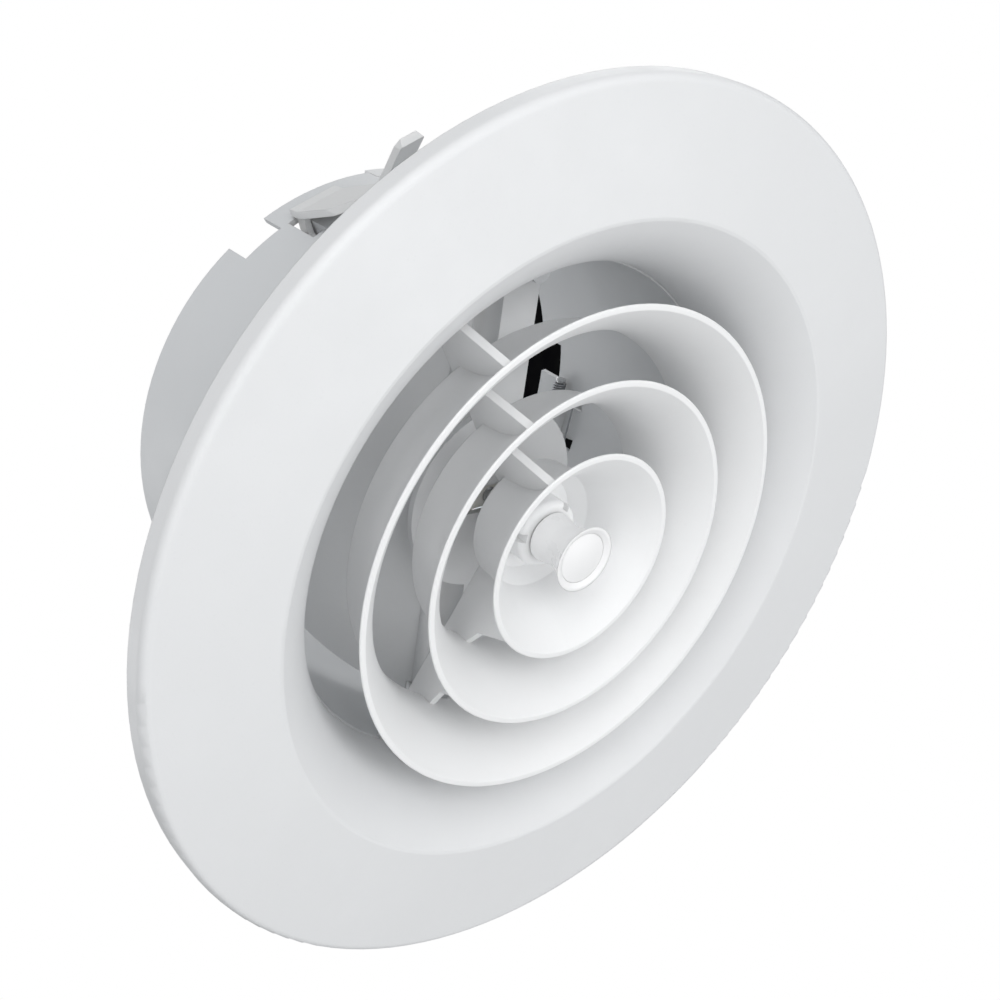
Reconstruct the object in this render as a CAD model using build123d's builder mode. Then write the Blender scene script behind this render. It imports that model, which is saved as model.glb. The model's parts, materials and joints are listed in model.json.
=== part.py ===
"""Round ceiling air diffuser with an adjustable butterfly damper in its neck.

Millimetres. The origin is the centre of the flange's rear edge, in the plane of the ceiling.
+Z points up into the duct, so the visible face looks down, towards -Z. The damper hinges run along X.
"""
from build123d import *
from math import cos, pi, radians, sin, sqrt
import os

os.makedirs("parts", exist_ok=True)

# Driving dimensions ---------------------------------------------------------------------------

# Face ring: flange and trumpet throat.
RIM_R = 165.5
RIM_ROUND = 3.0
RIM_SIDE_Z = -5.5
FACE_Z = -10.4
THROAT_EDGE_ROUND = 2.5
HORN_END_R = 98.0
HORN_END_Z = 26.4
HORN_CURVE_R = 40.86
FACE_WALL = 2.4
JOINT_FLANGE_R = 109.0
GUSSET_COUNT = 12
GUSSET_OUT_R = 147.0
GUSSET_T = 1.8

# Foam gasket behind the flange.
GASKET_IN_R = 150.0
GASKET_OUT_R = 159.0
GASKET_BOTTOM_Z = -6.1

# Neck.
NECK_IN_R = 97.3
NECK_OUT_R = 99.5
NECK_END_Z = 127.5
NECK_FLANGE_T = 5.0
NECK_SCREW_R = 104.5
NECK_SCREW_ANGLES = (89.7, 209.7, 329.7)

# Bayonet notches in the rear rim.
NOTCH_ANGLES = (23.2, 143.2, 263.2)
NOTCH_W = 17.0
NOTCH_FLOOR_Z = 115.5

# Core grille: trumpet rings (rear radius, lip radius), all with the same depth.
RING_RADII = ((77.2, 94.3), (50.6, 67.7))
BOWL_RADII = (24.0, 41.0)
RING_REAR_Z = 22.0
RING_LIP_Z = -10.0
RING_WALL = 1.9
BOWL_FLOOR_Z = 20.0
BOWL_BACK_Z = 24.0
HUB_R = 13.0
HUB_FRONT_Z = 9.0
RIB_ANGLES = (29.7, 149.7, 269.7)
RIB_T = 3.0
RIB_REAR_Z = 28.8
FOOT_W = 8.0
FOOT_OUT_R = 104.0

# Knob and spindle.
KNOB_LIP_R = 12.6
KNOB_LIP_Z = -10.4
CAP_R = 9.6
KNOB_STEM_R = 8.0
KNOB_REAR_Z = 8.4
SPINDLE_R = 3.0
SPINDLE_FRONT_Z = -1.5
SPINDLE_THREAD_Z = (30.0, 66.0)
SPINDLE_LEAD = 4.0
SPINDLE_STARTS = 2
SPINDLE_END_Z = 73.9
JOURNAL_R = 2.0
RUNNING_GAP = 0.05

# Damper.
BAR_FRONT_Z = 41.5
BAR_T = 2.5
BAR_HALF_W = 8.0
HUB_PLATE_R = 37.0
HINGE_Y = 14.5
HINGE_Z = 53.0
ROD_R = 2.0
BARREL_R = 3.0
BARREL_X = (25.0, 86.0)
LUG_X = (23.0, 88.0)
LUG_T = 3.0
FLAP_R = 94.0
FLAP_T = 2.0
FLAP_REST_DEG = 47.0
SLIDER_Z = (43.5, 61.9)
SLIDER_HALF_W = 4.5
YOKE_SCREW_X = 17.4
YOKE_PLATE_Z = (66.9, 69.9)
BRIDGE_SCREW_X = 90.0

# Pinions and racks share one module.
GEAR_MODULE = 1.0
PINION_TEETH = 10
PINION_HALF_W = 3.8
PITCH_R = GEAR_MODULE * PINION_TEETH / 2
RACK_PITCH_Y = HINGE_Y - PITCH_R
ADDENDUM = 0.9
DEDENDUM = 1.2
TOOTH_HALF_PITCH = 0.6
TOOTH_HALF_TIP = 0.28
TOOTH_HALF_ROOT = 0.95

# Clamp arms.
CLAMP_ANGLES = (37.2, 157.2, 277.2)
CLAMP_PIN_R = 1.5
CLAMP_AXIS_R = 92.1
CLAMP_AXIS_Z = 110.3
ARM_ROOT_W = 20.0
ARM_TIP_W = 9.0
EAR_INNER = 7.0
EAR_T = 2.4
WINDOW_OFFSET = 9.5
WINDOW_W = 6.0
WINDOW_Z = (98.4, 115.2)


# Helpers --------------------------------------------------------------------------------------

def polar(radius, angle):
    """A point on a circle about the Z axis."""
    return (radius * cos(radians(angle)), radius * sin(radians(angle)))


def radial_plane(angle):
    """The half-plane at one angle about Z: local x is the radius, local y is the height."""
    return Plane(origin=(0, 0, 0), x_dir=(*polar(1, angle), 0), z_dir=(sin(radians(angle)), -cos(radians(angle)), 0))


def tangent_plane(angle, radius, height):
    """A plane through a point beside the neck: local z is tangential, local x is radial."""
    base = radial_plane(angle)
    return Plane(origin=(*polar(radius, angle), height), x_dir=base.x_dir, z_dir=base.z_dir)


def curve_radius(rear_r, lip_r):
    """Radius of a trumpet curve that leaves its rear edge parallel to the Z axis."""
    flare = lip_r - rear_r
    depth = RING_REAR_Z - RING_LIP_Z
    return (flare * flare + depth * depth) / (2 * flare)


def trumpet_r(rear_r, lip_r, height, inset=0.0):
    """Radius of a ring's wall at a height, measured some way in from its outer surface."""
    big = curve_radius(rear_r, lip_r)
    return rear_r + big - sqrt((big + inset) ** 2 - (RING_REAR_Z - height) ** 2)


def trumpet_arc(rear_r, lip_r, inset, top, bottom):
    """Arc along a ring's wall between two heights."""
    middle = (top + bottom) / 2
    heights = (top, middle, bottom)
    return ThreePointArc(*[(trumpet_r(rear_r, lip_r, z, inset), z) for z in heights])


def horn_r(height, inset=0.0):
    """Radius of the throat's curve at a height; inset goes into the wall, away from the air."""
    centre_r = HORN_END_R + HORN_CURVE_R
    return centre_r - sqrt((HORN_CURVE_R - inset) ** 2 - (HORN_END_Z - height) ** 2)


def horn_arc(inset, top, bottom):
    """Arc along the throat's wall between two heights."""
    heights = (top, (top + bottom) / 2, bottom)
    return ThreePointArc(*[(horn_r(z, inset), z) for z in heights])


def add_ring(inner_r, outer_r, bottom, top, mode=Mode.ADD):
    """Plain tube about the Z axis."""
    with BuildSketch(Plane.XY.offset(bottom)) as section:
        Circle(outer_r)
        if inner_r > 0:
            Circle(inner_r, mode=Mode.SUBTRACT)
    extrude(section.sketch, amount=top - bottom, mode=mode)


def add_post(x, y, radius, bottom, top, mode=Mode.ADD):
    """Upright round post, or a hole with Mode.SUBTRACT."""
    with BuildSketch(Plane.XY.offset(bottom)) as section:
        with Locations((x, y)):
            Circle(radius)
    extrude(section.sketch, amount=top - bottom, mode=mode)


def add_box(x_span, y_span, z_span, mode=Mode.ADD):
    """Box between three pairs of limits."""
    size = [high - low for low, high in (x_span, y_span, z_span)]
    middle = [(high + low) / 2 for low, high in (x_span, y_span, z_span)]
    with Locations(tuple(middle)):
        Box(*size, mode=mode)


def add_x_rod(y, z, radius, x_span, mode=Mode.ADD):
    """Round rod or hole along X."""
    with BuildSketch(Plane.YZ.offset(x_span[0])) as section:
        with Locations((y, z)):
            Circle(radius)
    extrude(section.sketch, amount=x_span[1] - x_span[0], mode=mode)


def write(builder, name):
    """Label a finished sub-part and write its STEP file."""
    builder.part.label = name
    export_step(builder.part, f"parts/{name}.step")


# Face ring and gasket -------------------------------------------------------------------------

def make_face_ring():
    back_z = FACE_Z + FACE_WALL
    edge_z = RIM_SIDE_Z - RIM_ROUND
    joint_z = HORN_END_Z - FACE_WALL
    round_in = RIM_ROUND - FACE_WALL
    rim_centre = (RIM_R - RIM_ROUND, RIM_SIDE_Z)
    with BuildPart() as ring:
        with BuildSketch(Plane.XZ):
            with BuildLine():
                Line((RIM_R, 0), (RIM_R, RIM_SIDE_Z))
                CenterArc(rim_centre, RIM_ROUND, 0, -90)
                Line((rim_centre[0], edge_z), (horn_r(FACE_Z), FACE_Z))
                horn_arc(0, FACE_Z, HORN_END_Z)
                Line((HORN_END_R, HORN_END_Z), (JOINT_FLANGE_R, HORN_END_Z))
                Line((JOINT_FLANGE_R, HORN_END_Z), (JOINT_FLANGE_R, joint_z))
                Line((JOINT_FLANGE_R, joint_z), (horn_r(joint_z, FACE_WALL), joint_z))
                horn_arc(FACE_WALL, joint_z, back_z)
                Line((horn_r(back_z, FACE_WALL), back_z), (rim_centre[0], edge_z + FACE_WALL))
                CenterArc(rim_centre, round_in, -90, 90)
                Line((rim_centre[0] + round_in, RIM_SIDE_Z), (rim_centre[0] + round_in, 0))
                Line((rim_centre[0] + round_in, 0), (RIM_R, 0))
            make_face()
        revolve(axis=Axis.Z)
        throat_edge = ring.edges().filter_by(GeomType.CIRCLE).sort_by(
            lambda e: abs(e.radius - horn_r(FACE_Z)) + abs(e.center().Z - FACE_Z))[0]
        fillet(throat_edge, radius=THROAT_EDGE_ROUND)
        for k in range(GUSSET_COUNT):
            with BuildSketch(radial_plane(k * 360 / GUSSET_COUNT + 15)):
                with BuildLine():
                    Polyline((horn_r(-2, 1.2), -2), (GUSSET_OUT_R, -4.5), (GUSSET_OUT_R, -7.6),
                             (horn_r(-8.8, 1.2), -8.8), close=True)
                make_face()
            extrude(amount=GUSSET_T / 2, both=True)
        for angle in NECK_SCREW_ANGLES:
            x, y = polar(NECK_SCREW_R, angle)
            add_post(x, y, 4.0, 13.2, HORN_END_Z)
            add_post(x, y, 1.55, 16.0, HORN_END_Z, Mode.SUBTRACT)
    write(ring, "face_ring")


def make_gasket():
    with BuildPart() as gasket:
        add_ring(GASKET_IN_R, GASKET_OUT_R, GASKET_BOTTOM_Z, 0)
    write(gasket, "ceiling_gasket")


# Neck -----------------------------------------------------------------------------------------

def make_neck():
    flange_top = HORN_END_Z + NECK_FLANGE_T
    rebate_y = (-BAR_HALF_W - 0.3, BAR_HALF_W + 0.3)
    with BuildPart() as rebates:
        add_ring(NECK_OUT_R - 1.1, NECK_OUT_R + 1, NECK_END_Z - 6, NECK_END_Z + 1)
        add_box((-110, 110), rebate_y, (0, 200), Mode.INTERSECT)
    with BuildPart() as neck:
        add_ring(NECK_IN_R, JOINT_FLANGE_R, HORN_END_Z, flange_top)
        add_ring(NECK_IN_R, NECK_OUT_R, HORN_END_Z, NECK_END_Z)
        # Bosses inside the wall that the damper bar is screwed to.
        for side in (-1, 1):
            x = side * BRIDGE_SCREW_X
            add_post(x, 0, 4.0, 33.0, BAR_FRONT_Z)
            add_box(sorted((x, side * (NECK_IN_R + 0.8))), (-2, 2), (33.0, BAR_FRONT_Z))
            add_post(x, 0, 1.55, 34.5, BAR_FRONT_Z, Mode.SUBTRACT)
        # Rebates that the bar's hooks lie in, flush with the outside.
        add(rebates.part, mode=Mode.SUBTRACT)
        for angle in NOTCH_ANGLES:
            with Locations(Location((*polar(NECK_IN_R, angle), 0), (0, 0, angle))):
                with Locations((0, 0, (NOTCH_FLOOR_Z + NECK_END_Z + 4) / 2)):
                    Box(16, NOTCH_W, NECK_END_Z + 4 - NOTCH_FLOOR_Z, mode=Mode.SUBTRACT)
        for angle in CLAMP_ANGLES:
            with Locations(Location((*polar(NECK_IN_R, angle), 0), (0, 0, angle))):
                with Locations(*[(0, s * WINDOW_OFFSET, sum(WINDOW_Z) / 2) for s in (-1, 1)]):
                    Box(16, WINDOW_W, WINDOW_Z[1] - WINDOW_Z[0], mode=Mode.SUBTRACT)
            barrel_plane = tangent_plane(angle, CLAMP_AXIS_R, CLAMP_AXIS_Z)
            with BuildSketch(barrel_plane):
                Circle(3.2)
                with Locations((3.1, 0)):
                    Rectangle(6.2, 6.4)
            extrude(amount=6.2, both=True)
            with BuildSketch(barrel_plane):
                Circle(CLAMP_PIN_R + RUNNING_GAP)
            extrude(amount=7, both=True, mode=Mode.SUBTRACT)
        for angle in NECK_SCREW_ANGLES:
            x, y = polar(NECK_SCREW_R, angle)
            add_post(x, y, 1.8, HORN_END_Z, flange_top, Mode.SUBTRACT)
        # Pockets for the feet of the core grille.
        for angle in RIB_ANGLES:
            with Locations(Location((*polar(NECK_IN_R, angle), HORN_END_Z), (0, 0, angle))):
                Box(2 * (FOOT_OUT_R + 0.4 - NECK_IN_R), FOOT_W + 0.6, 5.6, mode=Mode.SUBTRACT)
    write(neck, "neck_collar")


def pan_screw(x, y, head_bottom, head_r, shank_r, length):
    """Pan-head screw standing on +Z, with a crossed recess."""
    add_post(x, y, shank_r, head_bottom - length, head_bottom)
    with BuildSketch(Plane.XY.offset(head_bottom)) as head:
        with Locations((x, y)):
            Circle(head_r)
    extrude(head.sketch, amount=0.7 * head_r, taper=16)
    recess_z = (head_bottom + 0.4 * head_r, head_bottom + head_r)
    arm = 0.55 * head_r
    add_box((x - arm, x + arm), (y - 0.35, y + 0.35), recess_z, Mode.SUBTRACT)
    add_box((x - 0.35, x + 0.35), (y - arm, y + arm), recess_z, Mode.SUBTRACT)


def make_neck_screws():
    with BuildPart() as screws:
        for angle in NECK_SCREW_ANGLES:
            x, y = polar(NECK_SCREW_R, angle)
            pan_screw(x, y, HORN_END_Z + NECK_FLANGE_T, 3.2, 1.5, 14.0)
    write(screws, "neck_screws")


# Core grille ----------------------------------------------------------------------------------

def ring_wall(rear_r, lip_r):
    """One trumpet ring, with a rounded lip."""
    with BuildSketch(Plane.XZ) as section:
        with BuildLine():
            trumpet_arc(rear_r, lip_r, 0, RING_REAR_Z, RING_LIP_Z)
            Line((lip_r, RING_LIP_Z), (trumpet_r(rear_r, lip_r, RING_LIP_Z, RING_WALL), RING_LIP_Z))
            trumpet_arc(rear_r, lip_r, RING_WALL, RING_LIP_Z, RING_REAR_Z)
            Line((rear_r - RING_WALL, RING_REAR_Z), (rear_r, RING_REAR_Z))
        make_face()
        fillet(section.vertices().group_by(Axis.Y)[0], radius=0.28 * RING_WALL)
    revolve(section.sketch, axis=Axis.Z)


def bowl_wall():
    """The inner ring, closed behind by a floor and a boss for the spindle's bush."""
    rear_r, lip_r = BOWL_RADII
    floor_r = trumpet_r(rear_r, lip_r, BOWL_FLOOR_Z - 6, RING_WALL)
    with BuildSketch(Plane.XZ) as section:
        with BuildLine():
            Line((0, BOWL_BACK_Z), (rear_r - 2, BOWL_BACK_Z))
            Line((rear_r - 2, BOWL_BACK_Z), (rear_r, RING_REAR_Z))
            trumpet_arc(rear_r, lip_r, 0, RING_REAR_Z, RING_LIP_Z)
            Line((lip_r, RING_LIP_Z), (trumpet_r(rear_r, lip_r, RING_LIP_Z, RING_WALL), RING_LIP_Z))
            trumpet_arc(rear_r, lip_r, RING_WALL, RING_LIP_Z, BOWL_FLOOR_Z - 6)
            Line((floor_r, BOWL_FLOOR_Z - 6), (floor_r - 4.5, BOWL_FLOOR_Z))
            Line((floor_r - 4.5, BOWL_FLOOR_Z), (0, BOWL_FLOOR_Z))
            Line((0, BOWL_FLOOR_Z), (0, BOWL_BACK_Z))
        make_face()
        fillet(section.vertices().group_by(Axis.Y)[0], radius=0.28 * RING_WALL)
    revolve(section.sketch, axis=Axis.Z)


def rib_outline():
    """Half of a rib in its radial plane: a deep web behind the rings, raked up to each lip."""
    (r1, l1), (r2, l2) = RING_RADII
    r3, l3 = BOWL_RADII
    half = RING_WALL / 2
    tip = RING_LIP_Z + 1.6
    root = 17.0
    with BuildLine() as outline:
        Polyline((12, BOWL_BACK_Z - 1), (21, RIB_REAR_Z), (NECK_IN_R - 0.3, RIB_REAR_Z),
                 (NECK_IN_R - 0.3, HORN_END_Z), (horn_r(16) - 0.4, 16), (trumpet_r(r1, l1, tip, half), tip))
        trumpet_arc(r1, l1, half, tip, root)
        Polyline((trumpet_r(r1, l1, root, half), root), (l2 + 2.2, 15), (trumpet_r(r2, l2, tip, half), tip))
        trumpet_arc(r2, l2, half, tip, root)
        Polyline((trumpet_r(r2, l2, root, half), root), (l3 + 3.0, 13.5), (trumpet_r(r3, l3, tip, half), tip))
        trumpet_arc(r3, l3, half, tip, root)
        Polyline((trumpet_r(r3, l3, root, half), root), (12, BOWL_BACK_Z - 1))
    make_face(outline.line)


def make_core():
    with BuildPart() as core:
        for rear_r, lip_r in RING_RADII:
            ring_wall(rear_r, lip_r)
        bowl_wall()
        with BuildSketch(Plane.XY.offset(HUB_FRONT_Z)):
            Circle(HUB_R)
        extrude(amount=BOWL_FLOOR_Z - HUB_FRONT_Z + 1)
        hub_edge = core.edges().filter_by(GeomType.CIRCLE).sort_by(
            lambda e: abs(e.radius - HUB_R) + abs(e.center().Z - HUB_FRONT_Z))[0]
        fillet(hub_edge, radius=2.2)
        for angle in RIB_ANGLES:
            with BuildSketch(radial_plane(angle)):
                rib_outline()
            extrude(amount=RIB_T / 2, both=True)
            with BuildSketch(radial_plane(angle)):
                with Locations(((FOOT_OUT_R + NECK_IN_R - 6) / 2, HORN_END_Z + 1.3)):
                    Rectangle(FOOT_OUT_R - NECK_IN_R + 6, 2.2)
            extrude(amount=FOOT_W / 2, both=True)
        # Small notches round the front of the hub boss.
        with PolarLocations(HUB_R, 3, start_angle=95):
            with Locations((0, 0, HUB_FRONT_Z + 2)):
                Box(5, 3.2, 6, mode=Mode.SUBTRACT)
        add_ring(0, 5.05, HUB_FRONT_Z - 1, BOWL_BACK_Z + 1, Mode.SUBTRACT)
    write(core, "core_grille")


def make_hub_bush():
    with BuildPart() as bush:
        add_ring(0, 5.0, HUB_FRONT_Z + 0.6, BOWL_BACK_Z + 1.2)
        add_ring(0, 7.5, BOWL_BACK_Z, BOWL_BACK_Z + 1.2)
        add_ring(0, SPINDLE_R + RUNNING_GAP, 0, 30, Mode.SUBTRACT)
    write(bush, "hub_bush")


# Knob and spindle -----------------------------------------------------------------------------

def make_knob():
    stem_top = 1.0
    with BuildPart() as knob:
        with BuildSketch(Plane.XZ):
            with BuildLine():
                Line((0, KNOB_REAR_Z), (KNOB_STEM_R + 1.6, KNOB_REAR_Z))
                Line((KNOB_STEM_R + 1.6, KNOB_REAR_Z), (KNOB_STEM_R + 0.4, stem_top))
                Spline((KNOB_STEM_R + 0.4, stem_top), (KNOB_STEM_R + 1.7, -5.6), (KNOB_LIP_R, KNOB_LIP_Z),
                       tangents=((-0.1, -1), (1, -0.75)))
                Line((KNOB_LIP_R, KNOB_LIP_Z), (KNOB_LIP_R - 1.1, KNOB_LIP_Z))
                Line((KNOB_LIP_R - 1.1, KNOB_LIP_Z), (CAP_R + 0.1, -9.4))
                Line((CAP_R + 0.1, -9.4), (CAP_R + 0.1, -8.2))
                Line((CAP_R + 0.1, -8.2), (7.6, -8.2))
                Line((7.6, -8.2), (7.6, -3.5))
                Line((7.6, -3.5), (0, -3.5))
                Line((0, -3.5), (0, KNOB_REAR_Z))
            make_face()
        revolve(axis=Axis.Z)
        rear_edge = knob.edges().filter_by(GeomType.CIRCLE).group_by(Axis.Z)[-1]
        fillet(rear_edge, radius=0.8)
        add_ring(0, SPINDLE_R + 0.03, SPINDLE_FRONT_Z, KNOB_REAR_Z + 1, Mode.SUBTRACT)
        add_ring(0, 1.6, -5, 0, Mode.SUBTRACT)
        # Drive flat that meets the flat on the spindle.
        add_box((-3.4, 3.4), (2.35, 3.6), (SPINDLE_FRONT_Z, 5.0))
    write(knob, "adjuster_knob")


def make_knob_cap():
    with BuildPart() as cap:
        with BuildSketch(Plane.XZ):
            with BuildLine():
                ThreePointArc((0, -10.5), (5.0, -10.2), (CAP_R, -9.3))
                Line((CAP_R, -9.3), (CAP_R, -8.25))
                Line((CAP_R, -8.25), (7.5, -8.25))
                Line((7.5, -8.25), (7.5, -3.55))
                Line((7.5, -3.55), (6.3, -3.55))
                Line((6.3, -3.55), (6.3, -6.9))
                Line((6.3, -6.9), (0, -6.9))
                Line((0, -6.9), (0, -10.5))
            make_face()
        revolve(axis=Axis.Z)
    write(cap, "knob_cap")


def make_knob_screw():
    with BuildPart() as screw:
        add_ring(0, 1.5, -3.5, 6.0)
        with BuildSketch(Plane.XY.offset(-3.5)):
            Circle(2.8)
        extrude(amount=-1.8, taper=14)
        add_box((-1.8, 1.8), (-0.4, 0.4), (-6, -4.4), Mode.SUBTRACT)
    write(screw, "knob_screw")


def make_spindle():
    start_z, end_z = SPINDLE_THREAD_Z
    with BuildPart() as spindle:
        add_ring(0, SPINDLE_R, SPINDLE_FRONT_Z, start_z - 1)
        add_ring(0, 5.2, BOWL_BACK_Z + 2.2, BOWL_BACK_Z + 3.4)
        add_ring(0, SPINDLE_R - 0.7, start_z - 1, end_z)
        add_ring(0, JOURNAL_R, end_z, SPINDLE_END_Z)
        add_box((-4, 4), (2.3, 4), (SPINDLE_FRONT_Z - 1, 5.1), Mode.SUBTRACT)
        add_ring(0, 1.55, SPINDLE_FRONT_Z - 1, 7.0, Mode.SUBTRACT)
        add_ring(1.5, 3, SPINDLE_END_Z - 1.9, SPINDLE_END_Z - 1.0, Mode.SUBTRACT)
        # Two-start thread: each start is a ridge swept along its helix.
        for start in range(SPINDLE_STARTS):
            with BuildLine(Plane.XY.offset(start_z)) as path:
                Helix(pitch=SPINDLE_LEAD, height=end_z - start_z - 1, radius=SPINDLE_R - 0.75)
            turned = path.line.rotate(Axis.Z, 360 * start / SPINDLE_STARTS)
            with BuildSketch(Plane(origin=turned @ 0, x_dir=turned @ 0 - Vector(0, 0, start_z),
                                   z_dir=turned % 0)):
                with BuildLine():
                    Polyline((0, -0.6), (0.7, -0.22), (0.7, 0.22), (0, 0.6), close=True)
                make_face()
            sweep(path=turned, is_frenet=True)
    write(spindle, "spindle")


def make_friction_washer():
    """Three-wave spring washer between the hub bush and the spindle's collar."""
    with BuildPart() as washer:
        add_ring(SPINDLE_R + 0.4, 6.6, BOWL_BACK_Z + 1.35, BOWL_BACK_Z + 1.75)
        with PolarLocations(5.0, 3):
            with Locations((0, 0, BOWL_BACK_Z + 1.85)):
                Box(2.0, 2.6, 0.35)
    write(washer, "friction_washer")


def make_circlip():
    with BuildPart() as clip:
        add_ring(1.55, 3.6, SPINDLE_END_Z - 1.8, SPINDLE_END_Z - 1.1)
        add_box((0, 5), (-0.9, 0.9), (60, 80), Mode.SUBTRACT)
    write(clip, "spindle_circlip")


# Rack slider and pinions ----------------------------------------------------------------------

def make_slider():
    pitch = pi * GEAR_MODULE
    root_y = RACK_PITCH_Y - DEDENDUM
    tip_y = RACK_PITCH_Y + ADDENDUM
    first = round((SLIDER_Z[0] + 1 - HINGE_Z) / pitch)
    last = round((SLIDER_Z[1] - 1 - HINGE_Z) / pitch)
    with BuildPart() as slider:
        add_box((-SLIDER_HALF_W, SLIDER_HALF_W), (-root_y, root_y), SLIDER_Z)
        for side in (-1, 1):
            tooth = [(side * (root_y - 0.3), -TOOTH_HALF_ROOT), (side * tip_y, -TOOTH_HALF_TIP),
                     (side * tip_y, TOOTH_HALF_TIP), (side * (root_y - 0.3), TOOTH_HALF_ROOT)]
            with BuildSketch(Plane.YZ):
                with Locations(*[(0, HINGE_Z + k * pitch) for k in range(first, last + 1)]):
                    Polygon(*tooth, align=None)
            extrude(amount=SLIDER_HALF_W, both=True)
        add_ring(0, SPINDLE_R + 0.08, 0, 100, Mode.SUBTRACT)
    write(slider, "rack_slider")


def make_pinion(side, name):
    """Spur pinion on one hinge rod, with a tooth gap facing the rack at rest."""
    facing = 180 if side > 0 else 0
    root_r = PITCH_R - DEDENDUM
    tip_r = PITCH_R + ADDENDUM
    with BuildPart() as pinion:
        with BuildSketch(Plane.YZ):
            with Locations((side * HINGE_Y, HINGE_Z)):
                Circle(root_r)
                with PolarLocations(0, PINION_TEETH, start_angle=facing + 180 / PINION_TEETH):
                    Polygon((root_r - 0.5, -TOOTH_HALF_ROOT), (PITCH_R, -TOOTH_HALF_PITCH),
                            (tip_r, -TOOTH_HALF_TIP), (tip_r, TOOTH_HALF_TIP),
                            (PITCH_R, TOOTH_HALF_PITCH), (root_r - 0.5, TOOTH_HALF_ROOT), align=None)
        extrude(amount=PINION_HALF_W, both=True)
        for x_side in (-1, 1):
            x_span = sorted((x_side * PINION_HALF_W, x_side * 9.0))
            add_x_rod(side * HINGE_Y, HINGE_Z, 3.4, x_span)
        add_x_rod(side * HINGE_Y, HINGE_Z, ROD_R + 0.02, (-10, 10), Mode.SUBTRACT)
    write(pinion, name)


# Damper bridge, yoke and flaps ----------------------------------------------------------------

def make_bridge():
    web_top = BAR_FRONT_Z + BAR_T
    reach = NECK_IN_R - 0.3
    leg_in_r = NECK_IN_R - 2.5
    hook_top = NECK_END_Z + 2.8
    bar_y = (-BAR_HALF_W, BAR_HALF_W)
    # Legs up the inside of the neck, hooked over its rim.
    with BuildPart() as legs:
        add_ring(leg_in_r, reach, BAR_FRONT_Z, hook_top)
        add_ring(leg_in_r, NECK_OUT_R, NECK_END_Z + 0.2, hook_top)
        add_ring(NECK_OUT_R - 0.9, NECK_OUT_R, NECK_END_Z - 5.6, hook_top)
        add_box((-110, 110), bar_y, (0, 200), Mode.INTERSECT)
    with BuildPart() as bridge:
        add_box((-reach, reach), bar_y, (BAR_FRONT_Z, web_top))
        add_ring(0, reach, 0, 200, Mode.INTERSECT)
        add_ring(0, HUB_PLATE_R, BAR_FRONT_Z, web_top)
        add(legs.part)
        for y_side in (-1, 1):
            for x_side in (-1, 1):
                wall_y = sorted((y_side * (BAR_HALF_W - 1.8), y_side * BAR_HALF_W))
                add_box(sorted((x_side * 22.0, x_side * 92.0)), wall_y, (BAR_FRONT_Z, HINGE_Z + 3.6))
                for lug_x in LUG_X:
                    x_span = sorted((x_side * (lug_x - LUG_T / 2), x_side * (lug_x + LUG_T / 2)))
                    y_span = sorted((y_side * (BAR_HALF_W - 1.8), y_side * HINGE_Y))
                    foot_z = web_top - 0.5 if lug_x < HUB_PLATE_R else HINGE_Z - 3.6
                    add_box(x_span, y_span, (foot_z, HINGE_Z + 3.6))
                    add_x_rod(y_side * HINGE_Y, HINGE_Z, 3.6, x_span)
                    add_x_rod(y_side * HINGE_Y, HINGE_Z, ROD_R + RUNNING_GAP, x_span, Mode.SUBTRACT)
        # Opening for the slider.
        add_box((-5.3, 5.3), (-11.4, 11.4), (0, 60), Mode.SUBTRACT)
        for x in (-BRIDGE_SCREW_X, -YOKE_SCREW_X, YOKE_SCREW_X, BRIDGE_SCREW_X):
            add_post(x, 0, 1.55, 0, 60, Mode.SUBTRACT)
    write(bridge, "damper_bridge")


def make_bridge_screws():
    with BuildPart() as screws:
        for x in (-BRIDGE_SCREW_X, BRIDGE_SCREW_X):
            pan_screw(x, 0, BAR_FRONT_Z + BAR_T, 3.0, 1.5, 8.5)
    write(screws, "bridge_screws")


def make_yoke():
    web_top = BAR_FRONT_Z + BAR_T
    plate_z = YOKE_PLATE_Z
    with BuildPart() as yoke:
        with BuildSketch(Plane.XZ):
            with BuildLine():
                Polyline((-21, web_top), (-11.8, web_top), (-11.8, plate_z[0]), (11.8, plate_z[0]),
                         (11.8, web_top), (21, web_top), (21, web_top + 2.2), (14.2, web_top + 2.2),
                         (14.2, plate_z[1]), (-14.2, plate_z[1]), (-14.2, web_top + 2.2),
                         (-21, web_top + 2.2), close=True)
            make_face()
        extrude(amount=7.5, both=True)
        corners = yoke.edges().filter_by(Axis.Y).group_by(Axis.Z)[-1]
        fillet(corners, radius=2.0)
        add_ring(0, 4.05, plate_z[0] - 1, plate_z[1] + 1, Mode.SUBTRACT)
        for x in (-YOKE_SCREW_X, YOKE_SCREW_X):
            add_post(x, 0, 1.6, 0, 60, Mode.SUBTRACT)
    write(yoke, "drive_yoke")


def make_yoke_screws():
    with BuildPart() as screws:
        for x in (-YOKE_SCREW_X, YOKE_SCREW_X):
            pan_screw(x, 0, BAR_FRONT_Z + BAR_T + 2.2, 2.4, 1.45, 4.4)
    write(screws, "yoke_screws")


def make_rear_bush():
    with BuildPart() as bush:
        add_ring(0, 4.0, YOKE_PLATE_Z[0], YOKE_PLATE_Z[1] + 1.6)
        add_ring(0, 5.6, YOKE_PLATE_Z[1], YOKE_PLATE_Z[1] + 1.6)
        add_ring(0, JOURNAL_R + RUNNING_GAP, 50, 80, Mode.SUBTRACT)
    write(bush, "rear_bush")


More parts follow.
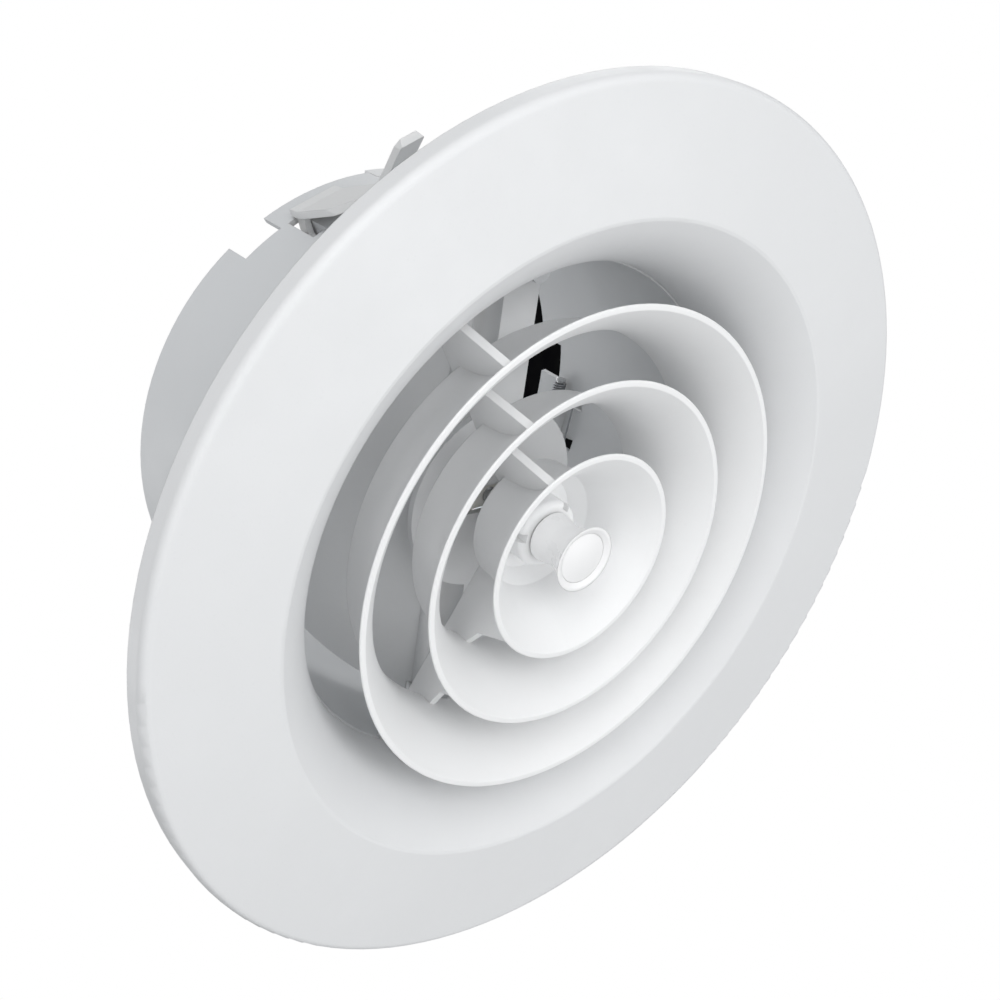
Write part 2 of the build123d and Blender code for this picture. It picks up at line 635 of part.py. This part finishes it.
def make_flap(side, name):
    """Half-disc flap, drawn closed and then folded back to its rest angle."""
    with BuildPart() as rim:
        add_ring(FLAP_R - 1.6, FLAP_R, HINGE_Z, HINGE_Z + FLAP_T / 2 + 1.6)
        add_box((-80, 80), (HINGE_Y + 8.5, 100), (0, 100), Mode.INTERSECT)
    with BuildPart() as flap:
        with BuildSketch(Plane.XY.offset(HINGE_Z - FLAP_T / 2)):
            Circle(FLAP_R)
            with Locations((0, -FLAP_R + HINGE_Y)):
                Rectangle(3 * FLAP_R, 2 * FLAP_R, mode=Mode.SUBTRACT)
        extrude(amount=FLAP_T)
        # Stiffening ribs behind the plate, and a low rim round its edge.
        rib_z = (HINGE_Z, HINGE_Z + FLAP_T / 2 + 2.4)
        add_box((-62, 62), (44, 45.6), rib_z)
        for x in (-58.0, -29.0, 29.0, 58.0):
            add_box((x - 0.8, x + 0.8), (HINGE_Y + 8.5, sqrt(FLAP_R ** 2 - x ** 2) - 1.5), rib_z)
        add(rim.part)
        # Room for the hub, the pinion and the hinge lugs.
        add_box((-BARREL_X[0], BARREL_X[0]), (0, HINGE_Y + 6.6), (0, 100), Mode.SUBTRACT)
        for x_side in (-1, 1):
            x_span = sorted((x_side * BARREL_X[1], x_side * 100))
            add_box(x_span, (0, HINGE_Y + 5.0), (0, 100), Mode.SUBTRACT)
            x_span = sorted((x_side * BARREL_X[0], x_side * BARREL_X[1]))
            add_x_rod(HINGE_Y, HINGE_Z, BARREL_R, x_span)
        add_x_rod(HINGE_Y, HINGE_Z, ROD_R + 0.02, (-100, 100), Mode.SUBTRACT)
    folded = flap.part.rotate(Axis((0, HINGE_Y, HINGE_Z), (1, 0, 0)), FLAP_REST_DEG)
    if side < 0:
        folded = folded.mirror(Plane.XZ)
    with BuildPart() as placed:
        add(folded)
    write(placed, name)


def make_hinge_rod(side, name):
    with BuildPart() as rod:
        add_x_rod(side * HINGE_Y, HINGE_Z, ROD_R, (-90.6, 90.6))
        chamfer(rod.edges().filter_by(GeomType.CIRCLE), length=0.5)
    write(rod, name)


# Clamp arms -----------------------------------------------------------------------------------

def make_clamp_arm(angle, name):
    """Sloping arm outside the neck, with two ears that reach the pin through the windows."""
    base = radial_plane(angle)
    with BuildPart() as arm:
        with BuildSketch(base):
            with BuildLine():
                Polyline((NECK_OUT_R + 0.6, 116.3), (102.7, 116.3), (103.4, 110.7), (113.2, 84.6),
                         (123.6, 62.0), (148.6, 39.0), (146.6, 37.2), (121.6, 60.4),
                         (110.8, 83.4), (NECK_OUT_R + 0.9, 110.5), close=True)
            make_face()
        extrude(amount=ARM_ROOT_W / 2, both=True)
        with BuildSketch(Plane(origin=(0, 0, 30), x_dir=base.x_dir, z_dir=(0, 0, 1))):
            with BuildLine():
                Polyline((90, -ARM_ROOT_W / 2), (112, -ARM_ROOT_W / 2), (124, -ARM_TIP_W / 2),
                         (146, -ARM_TIP_W / 2), (150, -ARM_TIP_W / 4), (150, ARM_TIP_W / 4),
                         (146, ARM_TIP_W / 2), (124, ARM_TIP_W / 2), (112, ARM_ROOT_W / 2),
                         (90, ARM_ROOT_W / 2), close=True)
            make_face()
        extrude(amount=100, mode=Mode.INTERSECT)
        for side in (-1, 1):
            ear_start = EAR_INNER if side > 0 else -EAR_INNER - EAR_T
            with BuildSketch(base.offset(ear_start)):
                with Locations((CLAMP_AXIS_R, CLAMP_AXIS_Z)):
                    Circle(3.3)
                with Locations(((CLAMP_AXIS_R + 102.4) / 2, CLAMP_AXIS_Z + 0.6)):
                    Rectangle(102.4 - CLAMP_AXIS_R, 5.2)
            extrude(amount=EAR_T)
        with BuildSketch(tangent_plane(angle, CLAMP_AXIS_R, CLAMP_AXIS_Z)):
            Circle(CLAMP_PIN_R + RUNNING_GAP)
        extrude(amount=20, both=True, mode=Mode.SUBTRACT)
    write(arm, name)


def make_clamp_pin(angle, name):
    with BuildPart() as pin:
        with BuildSketch(tangent_plane(angle, CLAMP_AXIS_R, CLAMP_AXIS_Z)):
            Circle(CLAMP_PIN_R)
        extrude(amount=17.0, both=True)
        for side in (-1, 1):
            plane = tangent_plane(angle, CLAMP_AXIS_R, CLAMP_AXIS_Z).offset(side * 17.0)
            with BuildSketch(plane):
                Circle(2.3)
            extrude(amount=side * 0.9)
    write(pin, name)


def make_clamp_spring(angle, name):
    """Double torsion spring: two coils on the pin, joined by a link that bears on the neck wall."""
    coil_r = 2.5
    wire_r = 0.4
    coil_start = 10.4
    leg_length = 9.0
    with BuildPart() as spring:
        with BuildLine() as coil:
            Helix(pitch=1.1, height=5.5, radius=coil_r, center=(0, 0, coil_start))
        with BuildLine() as leg:
            Polyline((coil_r, 0, coil_start), (coil_r, -leg_length, coil_start), (coil_r, -leg_length, 0))
        with BuildSketch(Plane(origin=coil.line @ 0, z_dir=coil.line % 0)):
            Circle(wire_r)
        sweep(path=coil.line, is_frenet=True)
        with BuildSketch(Plane(origin=leg.line @ 0, z_dir=leg.line % 0)):
            Circle(wire_r)
        sweep(path=leg.line, transition=Transition.RIGHT)
        mirror(about=Plane.XY)
    placed = spring.part.moved(tangent_plane(angle, CLAMP_AXIS_R, CLAMP_AXIS_Z).location)
    with BuildPart() as fitted:
        add(placed)
    write(fitted, name)


make_face_ring()
make_gasket()
make_neck()
make_neck_screws()
make_core()
make_hub_bush()
make_knob()
make_knob_cap()
make_knob_screw()
make_spindle()
make_friction_washer()
make_circlip()
make_slider()
make_pinion(1, "pinion_left")
make_pinion(-1, "pinion_right")
make_bridge()
make_bridge_screws()
make_yoke()
make_yoke_screws()
make_rear_bush()
make_flap(1, "damper_flap_left")
make_flap(-1, "damper_flap_right")
make_hinge_rod(1, "hinge_rod_left")
make_hinge_rod(-1, "hinge_rod_right")
for number, clamp_angle in enumerate(CLAMP_ANGLES, start=1):
    make_clamp_arm(clamp_angle, f"clamp_arm_{number}")
    make_clamp_pin(clamp_angle, f"clamp_pin_{number}")
    make_clamp_spring(clamp_angle, f"clamp_spring_{number}")
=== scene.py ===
"""Looks, light and camera for the ceiling air diffuser.

Metres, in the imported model's own frame: the visible face looks down along -Z, and the neck
points up into the duct.
"""

import json
import math

import bmesh
import bpy
from mathutils import Matrix, Vector, noise


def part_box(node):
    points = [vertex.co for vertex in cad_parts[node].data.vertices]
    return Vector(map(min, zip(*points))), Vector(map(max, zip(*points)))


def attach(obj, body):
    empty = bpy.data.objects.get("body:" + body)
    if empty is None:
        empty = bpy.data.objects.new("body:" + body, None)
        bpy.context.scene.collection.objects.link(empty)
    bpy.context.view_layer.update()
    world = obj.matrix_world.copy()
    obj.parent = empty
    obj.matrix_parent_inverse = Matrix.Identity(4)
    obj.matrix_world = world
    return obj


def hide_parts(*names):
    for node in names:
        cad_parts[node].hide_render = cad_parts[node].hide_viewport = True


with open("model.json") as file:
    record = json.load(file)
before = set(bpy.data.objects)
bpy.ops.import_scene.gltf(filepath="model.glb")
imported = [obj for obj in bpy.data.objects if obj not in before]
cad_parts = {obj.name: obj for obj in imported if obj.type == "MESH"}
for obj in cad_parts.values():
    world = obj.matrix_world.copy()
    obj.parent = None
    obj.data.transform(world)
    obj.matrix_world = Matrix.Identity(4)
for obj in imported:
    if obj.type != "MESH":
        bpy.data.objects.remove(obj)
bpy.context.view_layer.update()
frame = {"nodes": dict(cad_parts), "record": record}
nodes = frame["nodes"]


# ---------------------------------------------------------------------------
# Shader building blocks
# ---------------------------------------------------------------------------

MIX_FACTOR, MIX_A, MIX_B, MIX_RESULT = 0, 6, 7, 2   # the colour sockets of a Mix node
BEVEL_SAMPLES = 4
OCCLUSION_SAMPLES = 6


def is_socket(value):
    return isinstance(value, bpy.types.NodeSocket)


class Shader:
    """A material's node tree with short names for the nodes used again and again.

    Noise and cell scales are in features per metre, bump distances and radii in metres.
    """

    def __init__(self, name):
        self.material = bpy.data.materials.new(name)
        self.material.use_nodes = True
        self.tree = self.material.node_tree
        self.tree.nodes.clear()
        self.bsdf = self.add("BsdfPrincipled")
        self.add("OutputMaterial", Surface=self.bsdf.outputs[0])
        self.coords = self.add("TexCoord").outputs["Object"]

    def put(self, value, socket):
        """Link value to the socket if it is a socket itself, or else set it as a plain value."""
        if is_socket(value):
            self.tree.links.new(value, socket)
        else:
            socket.default_value = value

    def add(self, kind, **inputs):
        """A new node; each keyword names an input, with _ for a space."""
        node = self.tree.nodes.new("ShaderNode" + kind)
        for name, value in inputs.items():
            self.put(value, node.inputs[name.replace("_", " ")])
        return node

    def stretched(self, scale, turn=(0, 0, 0)):
        """The object's coordinates, scaled along each axis and turned (radians)."""
        return self.add("Mapping", Vector=self.coords, Scale=scale, Rotation=turn).outputs[0]

    def noise(self, scale, detail=3.0, rough=0.55, vector=None, distort=0.0):
        node = self.add("TexNoise", Vector=vector or self.coords, Scale=scale, Detail=detail,
                        Roughness=rough, Distortion=distort)
        return node.outputs["Fac"]

    def cells(self, scale, out="Distance"):
        return self.add("TexVoronoi", Vector=self.coords, Scale=scale).outputs[out]

    def span(self, fac, low, high, from_low=0.3, from_high=0.7):
        """Map from_low..from_high to low..high, and clamp what lies outside."""
        node = self.add("MapRange", Value=fac, From_Min=from_low, From_Max=from_high,
                        To_Min=low, To_Max=high)
        return node.outputs[0]

    def math(self, kind, a, b):
        node = self.add("Math")
        node.operation = kind
        self.put(a, node.inputs[0])
        self.put(b, node.inputs[1])
        return node.outputs[0]

    def mix(self, fac, a, b, blend="MIX"):
        node = self.add("Mix")
        node.data_type = "RGBA"
        node.blend_type = blend
        self.put(fac, node.inputs[MIX_FACTOR])
        self.put(a if is_socket(a) else (*a, 1), node.inputs[MIX_A])
        self.put(b if is_socket(b) else (*b, 1), node.inputs[MIX_B])
        return node.outputs[MIX_RESULT]

    def bump(self, height, strength, distance, normal=None):
        node = self.add("Bump", Height=height, Strength=strength, Distance=distance)
        if normal is not None:
            self.put(normal, node.inputs["Normal"])
        return node.outputs[0]

    def soft_edges(self, radius):
        """A normal that rounds sharp edges to the radius."""
        node = self.add("Bevel", Radius=radius)
        node.samples = BEVEL_SAMPLES
        return node.outputs[0]

    def crevice(self, distance):
        """1 in the open, falling towards 0 in corners."""
        node = self.add("AmbientOcclusion", Distance=distance)
        node.samples = OCCLUSION_SAMPLES
        return node.outputs["AO"]

    def grime_and_corner_shade(self, distance, most, cloud, least_cloud=0.3, deep=0.2, clear=0.8):
        """How much patchy grime and painted corner shade cover, from most in the deepest corners
        to 0 in the open.
        """
        in_corners = self.span(self.crevice(distance), most, 0, from_low=deep, from_high=clear)
        return self.math("MULTIPLY", in_corners, self.span(cloud, least_cloud, 1.0))

    def finish(self, colour, roughness, normal, **others):
        """Wire the main inputs, set the others as plain values and return the material."""
        inputs = {"Base_Color": colour, "Roughness": roughness, "Normal": normal, **others}
        for name, value in inputs.items():
            self.put(value, self.bsdf.inputs[name.replace("_", " ")])
        return self.material


def scaled(colour, k):
    """The colour k times as bright, with no channel over 1."""
    return tuple(min(1.0, c * k) for c in colour)


# ---------------------------------------------------------------------------
# Materials
# ---------------------------------------------------------------------------

# The house dust, old oil and grey grime colours are laid into corners by occlusion: partly dust,
# oil and grime, partly painted shade.
DUST_AND_SHADE_GREY = (0.50, 0.49, 0.47)
PALE_DUST = (0.62, 0.61, 0.59)
OIL_AND_SHADE_DARK = (0.16, 0.14, 0.12)
GRIME_AND_SHADE_GREY = (0.20, 0.19, 0.17)
BROWN_TARNISH = (0.36, 0.22, 0.10)
STEEL_EDGE_R = 0.00018
BRASS_EDGE_R = 0.0002


def moulded_plastic(name, colour, rough, grain, dust_and_shade, edge=0.0004):
    """Injection-moulded plastic: spark texture, tone drift, flow marks, scuffs, dust and painted
    shade in the corners.
    """
    s = Shader(name)
    drift = s.noise(9.0, detail=2.0)
    cloud = s.noise(48.0, detail=4.0, rough=0.6)
    speck = s.noise(900.0, detail=2.0, rough=0.6)
    spark = s.noise(1500.0, detail=2.0, rough=0.5)
    flow = s.noise(30.0, rough=0.5, distort=0.6, vector=s.stretched((1, 1, 0.12)))
    scratched = s.stretched((1, 0.08, 1), turn=(0.4, 0.2, 0.7))
    scuff = s.noise(120.0, detail=5.0, rough=0.75, vector=scratched)

    base = s.mix(s.span(drift, 0, 1), scaled(colour, 0.975), scaled(colour, 1.012))
    base = s.mix(s.span(cloud, 0, 0.5), base, scaled(colour, 0.965))
    base = s.mix(s.span(speck, 0, 0.16, from_low=0.62, from_high=0.75), base, scaled(colour, 0.86))
    # Dust and painted shade: the dust grey is laid over corners where the occlusion is deep.
    dust_and_corner_shade = s.grime_and_corner_shade(0.006, dust_and_shade, cloud, least_cloud=0.5, deep=0.25, clear=0.85)
    base = s.mix(dust_and_corner_shade, base, DUST_AND_SHADE_GREY)

    roughness = s.math("ADD", s.span(cloud, rough - 0.05, rough + 0.07), s.span(flow, -0.03, 0.04))
    rubbed = s.span(scuff, 0, 0.10, from_low=0.66, from_high=0.78)
    roughness = s.math("ADD", roughness, rubbed)

    normal = s.bump(spark, strength=grain, distance=0.00006, normal=s.soft_edges(edge))
    normal = s.bump(flow, strength=0.10, distance=0.00030, normal=normal)
    return s.finish(base, roughness, normal, IOR=1.49, Specular_IOR_Level=0.42)


def bright_steel(name, colour, rough=0.28, lay=(60, 60, 4), oil_and_shade=0.35):
    """Turned or drawn steel: fine marks across the direction of lay, some oil and painted shade in
    corners.
    """
    s = Shader(name)
    marks = s.noise(90.0, detail=4.0, rough=0.6, vector=s.stretched(lay))
    cloud = s.noise(160.0)
    base = s.mix(s.span(marks, 0, 1), scaled(colour, 0.84), scaled(colour, 1.08))
    base = s.mix(s.span(cloud, 0, 0.4, from_low=0.5, from_high=0.75), base, scaled(colour, 0.72))
    # Oil and painted shade: the dark oil colour is laid over corners where the occlusion is deep.
    base = s.mix(s.grime_and_corner_shade(0.003, oil_and_shade, cloud), base, OIL_AND_SHADE_DARK)
    roughness = s.span(marks, rough - 0.07, rough + 0.12)
    normal = s.bump(marks, strength=0.25, distance=0.00004, normal=s.soft_edges(STEEL_EDGE_R))
    return s.finish(base, roughness, normal, Metallic=1.0)


def zinc_plate(name, colour):
    """Zinc-plated steel: mottled, slightly milky, with grime and painted shade darkening the
    corners.
    """
    s = Shader(name)
    spangle = s.cells(260.0, out="Color")
    cloud = s.noise(210.0, detail=4.0, rough=0.6)
    base = s.mix(s.span(cloud, 0, 1), scaled(colour, 0.86), scaled(colour, 1.06))
    base = s.mix(0.10, base, spangle, "OVERLAY")
    # Grime and painted shade: the grey grime is laid over corners where the occlusion is deep.
    base = s.mix(s.grime_and_corner_shade(0.0025, 0.55, cloud), base, GRIME_AND_SHADE_GREY)
    normal = s.bump(cloud, strength=0.2, distance=0.00005, normal=s.soft_edges(STEEL_EDGE_R))
    return s.finish(base, s.span(cloud, 0.30, 0.48), normal, Metallic=1.0)


def turned_brass(name, colour):
    """Brass from the lathe: fine rings round Z under a patchy brown tarnish."""
    s = Shader(name)
    rings = s.noise(420.0, rough=0.6, vector=s.stretched((1, 1, 14)))
    tarnish = s.noise(70.0, detail=4.0, rough=0.65)
    base = s.mix(s.span(rings, 0, 1), scaled(colour, 0.85), scaled(colour, 1.1))
    patches = s.span(tarnish, 0, 0.55, from_low=0.45, from_high=0.75)
    base = s.mix(patches, base, BROWN_TARNISH)
    normal = s.bump(rings, strength=0.2, distance=0.00004, normal=s.soft_edges(BRASS_EDGE_R))
    return s.finish(base, s.span(tarnish, 0.24, 0.42), normal, Metallic=1.0)


def cell_foam(name, colour):
    """Closed-cell foam: open pores of cut cells, painted darker as shade, on a soft, dusty skin.
    """
    s = Shader(name)
    warp = s.noise(300.0)
    pores = s.cells(1150.0)
    large_pores = s.cells(480.0)
    cloud = s.noise(26.0, detail=4.0, rough=0.6)

    base = s.mix(s.span(cloud, 0, 1), scaled(colour, 0.82), scaled(colour, 1.18))
    # Painted shade inside the pores: the cut cells are coloured darker than the skin.
    pore_shade = s.span(pores, 0.75, 0.0, from_low=0.05, from_high=0.42)
    base = s.mix(pore_shade, base, scaled(colour, 0.42))
    large_pore_shade = s.span(large_pores, 0.35, 0.0, from_low=0.04, from_high=0.22)
    base = s.mix(large_pore_shade, base, scaled(colour, 0.35))
    base = s.mix(s.span(warp, 0, 0.22, from_low=0.5, from_high=0.8), base, PALE_DUST)

    normal = s.bump(pores, strength=0.8, distance=0.00028)
    normal = s.bump(large_pores, strength=0.6, distance=0.0004, normal=normal)
    normal = s.bump(warp, strength=0.4, distance=0.0003, normal=normal)
    return s.finish(base, s.span(cloud, 0.86, 0.97), normal,
                    Specular_IOR_Level=0.2, Sheen_Weight=0.15)


PLASTICS = {
    "face_plastic": dict(colour=(0.790, 0.798, 0.808), rough=0.42, grain=0.30, dust_and_shade=0.30,
                         edge=0.0005),
    # Painted light: the rings' white is set lighter than the face's to stand in for light bounced
    # between the rings.
    "core_plastic": dict(colour=(0.905, 0.910, 0.915), rough=0.40, grain=0.25, dust_and_shade=0.20),
    # Painted shade: the neck is the same white plastic, set darker to stand in for the shade on
    # the duct side.
    "neck_plastic": dict(colour=(0.728, 0.742, 0.756), rough=0.47, grain=0.45, dust_and_shade=0.60),
    "knob_plastic": dict(colour=(0.930, 0.932, 0.936), rough=0.30, grain=0.12, dust_and_shade=0.25),
    "damper_plastic": dict(colour=(0.800, 0.808, 0.816), rough=0.50, grain=0.45, dust_and_shade=0.60),
    "clip_plastic": dict(colour=(0.815, 0.820, 0.822), rough=0.45, grain=0.40, dust_and_shade=0.50),
    "acetal": dict(colour=(0.860, 0.850, 0.800), rough=0.34, grain=0.15, dust_and_shade=0.50,
                   edge=0.00015),
}

LOOKS = {slot: moulded_plastic(slot, **look) for slot, look in PLASTICS.items()}
LOOKS["foam"] = cell_foam("foam", (0.20, 0.205, 0.21))
LOOKS["bush_brass"] = turned_brass("bush_brass", (0.78, 0.57, 0.27))
LOOKS["turned_steel"] = bright_steel("turned_steel", (0.62, 0.63, 0.64))
LOOKS["zinc_steel"] = zinc_plate("zinc_steel", (0.68, 0.69, 0.70))
LOOKS["spring_steel"] = bright_steel("spring_steel", (0.40, 0.41, 0.43), rough=0.34,
                                     lay=(8, 8, 8), oil_and_shade=0.6)

for part in frame["record"]["subparts"]:
    mesh = nodes[part["node"]].data
    mesh.materials.clear()
    mesh.materials.append(LOOKS[part["material_slot"]])


# ---------------------------------------------------------------------------
# Foam gasket
# ---------------------------------------------------------------------------

STRIP_WIDTH = 0.009
STRIP_EDGE_R = 0.0013       # rounding of the strip's four long edges
STRIP_EDGE_FACETS = 4
SKIN_INSET = 0.0002         # keeps the uneven skin inside the gasket's own box
SKIN_WOBBLE = 0.00016
WAVES_PER_RADIAN = 22
WAVES_PER_METRE = 900       # across the section
HEIGHT_WEIGHT = 3           # makes the upper and lower edges wave differently
BUTT_JOINT_GAP = 0.0011
BUTT_JOINT_ANGLE = 0.9      # radians from +X
STRIP_STEPS = 420


def strip_section(inner, outer, bottom, top):
    """The strip's outline as (radius, z) points, one rounded corner after another."""
    corners = [(inner, bottom, 180), (outer, bottom, 270), (outer, top, 0), (inner, top, 90)]
    section = []
    for r, z, start in corners:
        centre_r = r + (STRIP_EDGE_R if r == inner else -STRIP_EDGE_R)
        centre_z = z + (STRIP_EDGE_R if z == bottom else -STRIP_EDGE_R)
        for k in range(STRIP_EDGE_FACETS + 1):
            a = math.radians(start + k * 90 / STRIP_EDGE_FACETS)
            section.append((centre_r + STRIP_EDGE_R * math.cos(a),
                            centre_z + STRIP_EDGE_R * math.sin(a)))
    return section


def foam_gasket():
    """A cut foam strip bent into a ring: rounded, slightly uneven edges and a butt joint."""
    low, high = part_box("ceiling_gasket")
    outer = high.x
    inner = outer - STRIP_WIDTH
    middle_r, middle_z = (inner + outer) / 2, (low.z + high.z) / 2
    section = strip_section(inner, outer, low.z, high.z)
    mesh = bmesh.new()
    rings = []
    for i in range(STRIP_STEPS + 1):
        part_round = i / STRIP_STEPS
        angle = BUTT_JOINT_ANGLE + part_round * (2 * math.pi - BUTT_JOINT_GAP / outer)
        cos, sin = math.cos(angle), math.sin(angle)
        ring = []
        for r, z in section:
            place = Vector((cos * WAVES_PER_RADIAN, sin * WAVES_PER_RADIAN,
                            (r + HEIGHT_WEIGHT * z) * WAVES_PER_METRE))
            shift = noise.noise(place) * SKIN_WOBBLE - SKIN_INSET
            away = Vector((r - middle_r, z - middle_z)).normalized()
            skin_r, skin_z = r + away.x * shift, z + away.y * shift
            ring.append(mesh.verts.new((skin_r * cos, skin_r * sin, skin_z)))
        rings.append(ring)
    count = len(section)
    for a, b in zip(rings, rings[1:]):
        for k in range(count):
            mesh.faces.new((a[k], b[k], b[(k + 1) % count], a[(k + 1) % count]))
    mesh.faces.new(rings[0])
    mesh.faces.new(list(reversed(rings[-1])))
    bmesh.ops.recalc_face_normals(mesh, faces=mesh.faces[:])
    data = bpy.data.meshes.new("gasket_foam")
    mesh.to_mesh(data)
    mesh.free()
    for polygon in data.polygons:
        polygon.use_smooth = len(polygon.vertices) == 4   # all but the two cut ends
    data.materials.append(LOOKS["foam"])
    piece = bpy.data.objects.new("gasket_foam", data)
    bpy.context.scene.collection.objects.link(piece)
    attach(piece, "frame")
    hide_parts("ceiling_gasket")


foam_gasket()


# ---------------------------------------------------------------------------
# Camera
# ---------------------------------------------------------------------------

CAMERA_AT = Vector((-0.22873, 0.30916, -0.29757))
FORWARD = Vector((0.4476, -0.6068, 0.6568)).normalized()
UP = Vector((-0.8846, -0.1928, 0.4247)).normalized()
LENS_MM = 49.46
SENSOR_MM = 36.0
NEAREST, FARTHEST = 0.01, 60.0


def studio_camera():
    data = bpy.data.cameras.new("camera")
    data.sensor_width = SENSOR_MM
    data.lens = LENS_MM
    data.clip_start = NEAREST
    data.clip_end = FARTHEST
    camera = bpy.data.objects.new("camera", data)
    right = FORWARD.cross(UP).normalized()
    up = right.cross(FORWARD)
    turn = Matrix((right, up, -FORWARD)).transposed()
    camera.matrix_world = Matrix.Translation(CAMERA_AT) @ turn.to_4x4()
    bpy.context.scene.collection.objects.link(camera)
    bpy.context.scene.camera = camera


# ---------------------------------------------------------------------------
# Floor, painted-shade flag, world and lights
# ---------------------------------------------------------------------------

FLOOR_HALF = 9.0
FLOOR_Z = -1.5

THROAT_R = 0.0984           # a circle of the throat, just in front of the neck
THROAT_Z = 0.0262
FLAG_REACH = 4.0            # the flag's distance from the camera, in distances of the throat
FLAG_SIDES = 96

SEEN_COLOUR, SEEN_STRENGTH = (1, 1, 1, 1), 1.0
FILL_COLOUR, FILL_STRENGTH = (0.97, 0.985, 1.0, 1), 0.43

LIGHTS_AIM = Vector((0, 0, 0.03))
LIGHTS = [
    # name, direction from the part, distance, diameter, watts
    ("key", (-0.62, 0.22, -0.75), 1.15, 0.7, 3.0),
    ("left", (-0.15, 0.70, -0.70), 1.4, 0.8, 2.6),
    ("front", (0.00, -0.38, -0.93), 1.5, 1.2, 6.8),
    ("side", (-0.80, 0.50, -0.22), 1.3, 0.8, 4.0),
    ("rear", (0.5, 0.4, 0.8), 2.2, 1.2, 4.5),
    ("rear_left", (-0.55, -0.75, 0.75), 2.0, 1.2, 6.0),
    ("top", (0.1, 0.2, 1.0), 2.4, 1.6, 6.5),
]


def stage_face(name, corners, material):
    """One flat face that belongs to the studio and not to the part."""
    data = bpy.data.meshes.new(name)
    data.from_pydata(corners, [], [tuple(range(len(corners)))])
    data.materials.append(material)
    piece = bpy.data.objects.new(name, data)
    bpy.context.scene.collection.objects.link(piece)


def studio_floor():
    """A pale matt floor far below the part, out of sight from the camera."""
    s = Shader("studio_floor")
    cloud = s.noise(1.2)
    colour = s.mix(s.span(cloud, 0, 1), (0.86, 0.86, 0.86), (0.90, 0.90, 0.895))
    normal = s.bump(s.noise(60.0), strength=0.05, distance=0.001)
    material = s.finish(colour, s.span(cloud, 0.7, 0.8), normal)
    corners = [(x * FLOOR_HALF, y * FLOOR_HALF, FLOOR_Z)
               for x, y in ((-1, -1), (1, -1), (1, 1), (-1, 1))]
    stage_face("studio_floor", corners, material)


def duct_shade_flag():
    """A black sheet far behind the neck, painted shade standing in for the dark duct, so that gaps
    past the damper read dark from the front.

    It is the throat's circle enlarged about the camera, so the part hides it everywhere but
    inside the throat.
    """
    s = Shader("painted_duct_shade")
    fuzz = s.noise(40.0)
    colour = s.mix(s.span(fuzz, 0, 1), (0.004, 0.004, 0.005), (0.008, 0.008, 0.008))
    normal = s.bump(fuzz, strength=0.1, distance=0.001)
    material = s.finish(colour, s.span(fuzz, 0.9, 1.0), normal, Specular_IOR_Level=0.0)
    throat = Vector((0, 0, THROAT_Z))
    centre = CAMERA_AT + (throat - CAMERA_AT) * FLAG_REACH
    radius = THROAT_R * FLAG_REACH
    angles = [2 * math.pi * k / FLAG_SIDES for k in range(FLAG_SIDES)]
    corners = [centre + Vector((radius * math.cos(a), radius * math.sin(a), 0)) for a in angles]
    stage_face("painted_duct_shade", corners, material)


def studio_world():
    """White where the camera sees it, and a dimmer, cooler fill for everything it lights."""
    world = bpy.data.worlds.new("studio")
    bpy.context.scene.world = world
    world.use_nodes = True
    tree = world.node_tree
    tree.nodes.clear()
    out = tree.nodes.new("ShaderNodeOutputWorld")
    mix = tree.nodes.new("ShaderNodeMixShader")
    rays = tree.nodes.new("ShaderNodeLightPath")
    seen = tree.nodes.new("ShaderNodeBackground")
    seen.inputs["Color"].default_value = SEEN_COLOUR
    seen.inputs["Strength"].default_value = SEEN_STRENGTH
    fill = tree.nodes.new("ShaderNodeBackground")
    fill.inputs["Color"].default_value = FILL_COLOUR
    fill.inputs["Strength"].default_value = FILL_STRENGTH
    tree.links.new(rays.outputs["Is Camera Ray"], mix.inputs[0])
    tree.links.new(fill.outputs[0], mix.inputs[1])
    tree.links.new(seen.outputs[0], mix.inputs[2])
    tree.links.new(mix.outputs[0], out.inputs["Surface"])


def soft_box(name, direction, distance, diameter, watts):
    """A round area light that faces the part."""
    data = bpy.data.lights.new(name, "AREA")
    data.shape = "DISK"
    data.size = diameter
    data.energy = watts
    light = bpy.data.objects.new(name, data)
    away = Vector(direction).normalized()
    light.location = LIGHTS_AIM + away * distance
    light.rotation_mode = "QUATERNION"
    light.rotation_quaternion = away.to_track_quat("Z", "Y")
    bpy.context.scene.collection.objects.link(light)


studio_camera()
studio_floor()
duct_shade_flag()
studio_world()
for light in LIGHTS:
    soft_box(*light)

bpy.context.scene.view_settings.view_transform = "Standard"
bpy.context.scene.view_settings.look = "None"
